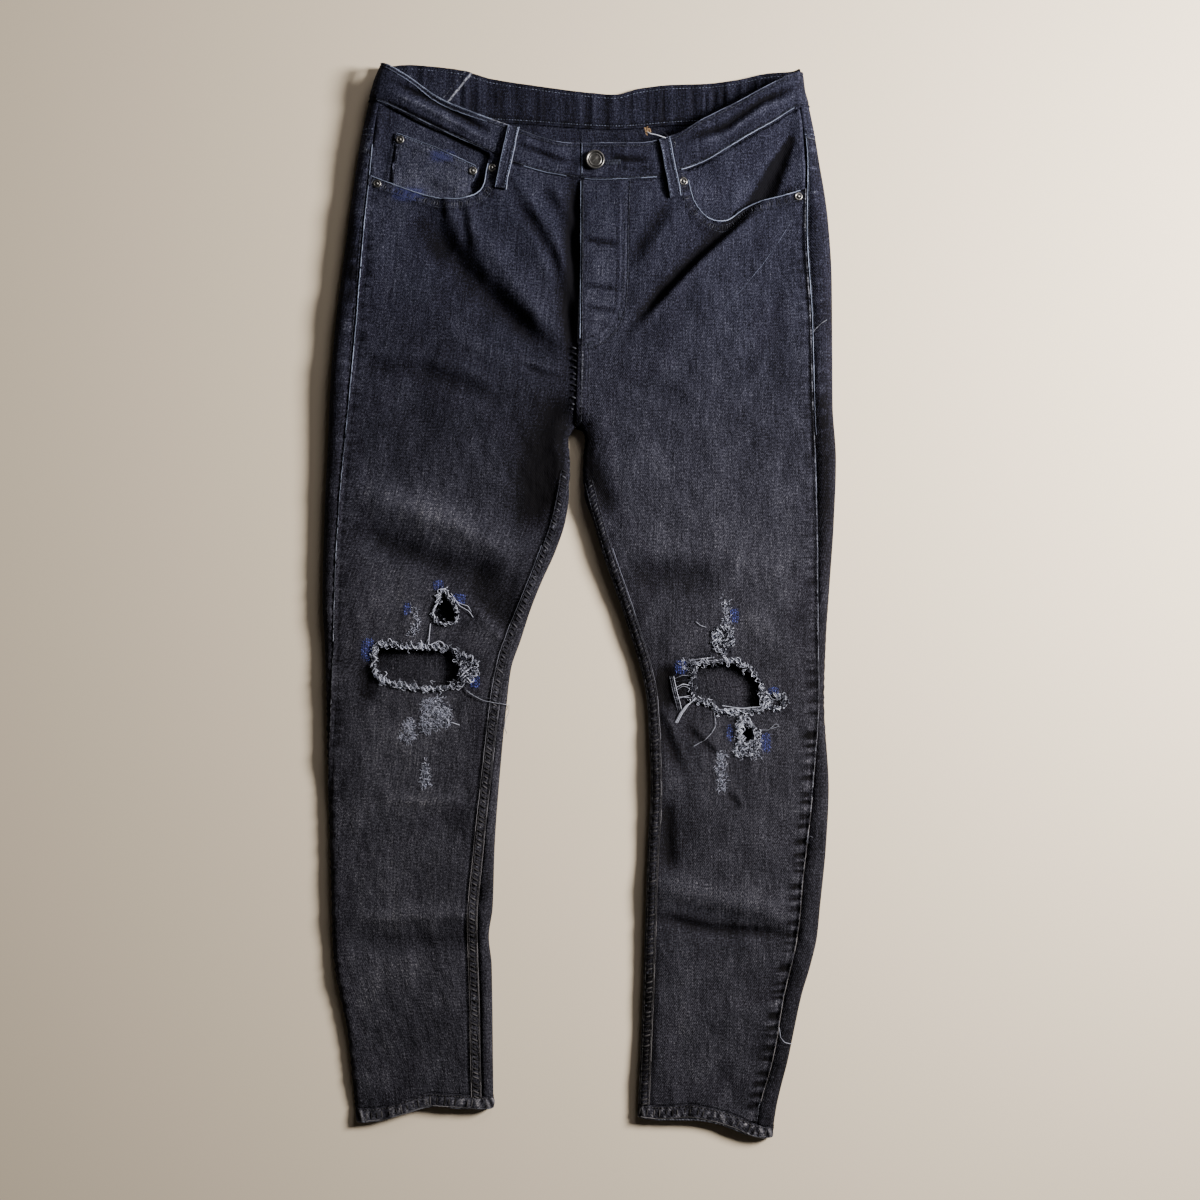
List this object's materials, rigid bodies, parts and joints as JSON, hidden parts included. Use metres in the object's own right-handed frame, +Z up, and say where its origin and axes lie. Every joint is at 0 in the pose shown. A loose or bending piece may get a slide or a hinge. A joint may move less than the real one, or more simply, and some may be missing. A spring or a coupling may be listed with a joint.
{
  "type": "ripped jeans",
  "caption": "Slim five-pocket jeans in washed-out black denim, laid flat on their back with the fly buttoned, with frayed tears at both knees.",
  "frame": {"origin": "on the surface the jeans lie on, below the middle of the garment", "axes": "+Z up out of the surface, +Y from the hems towards the waist, +X towards the wearer's left leg; the front faces up"},
  "size_m": [0.5277, 1.1034, 0.029],
  "materials": {
    "denim": "washed-out black denim, right side of the twill",
    "facing_denim": "the same denim where it is less worn",
    "nickel": "dull antique nickel"
  },
  "bodies": {
    "root": {"front_right": "denim", "front_left": "denim", "back_right": "denim", "back_left": "denim", "yoke_right": "denim", "yoke_left": "denim", "hem_right": "denim", "hem_left": "denim", "waistband_front_right": "denim", "waistband_front_left": "denim", "waistband_back": "denim", "coin_pocket": "denim", "loop_front_right": "denim", "loop_front_left": "denim", "loop_back_right": "denim", "loop_back_centre": "denim", "loop_back_left": "denim", "back_pocket_left": "denim", "back_pocket_right": "denim", "pocket_facing_right": "facing_denim", "pocket_facing_left": "facing_denim", "fly_shield": "facing_denim", "button": "nickel", "rivet_coin_outer": "nickel", "rivet_coin_inner": "nickel", "rivet_right_side": "nickel", "rivet_right_front": "nickel", "rivet_left_front": "nickel", "rivet_left_side": "nickel"}
  },
  "joints": []
}
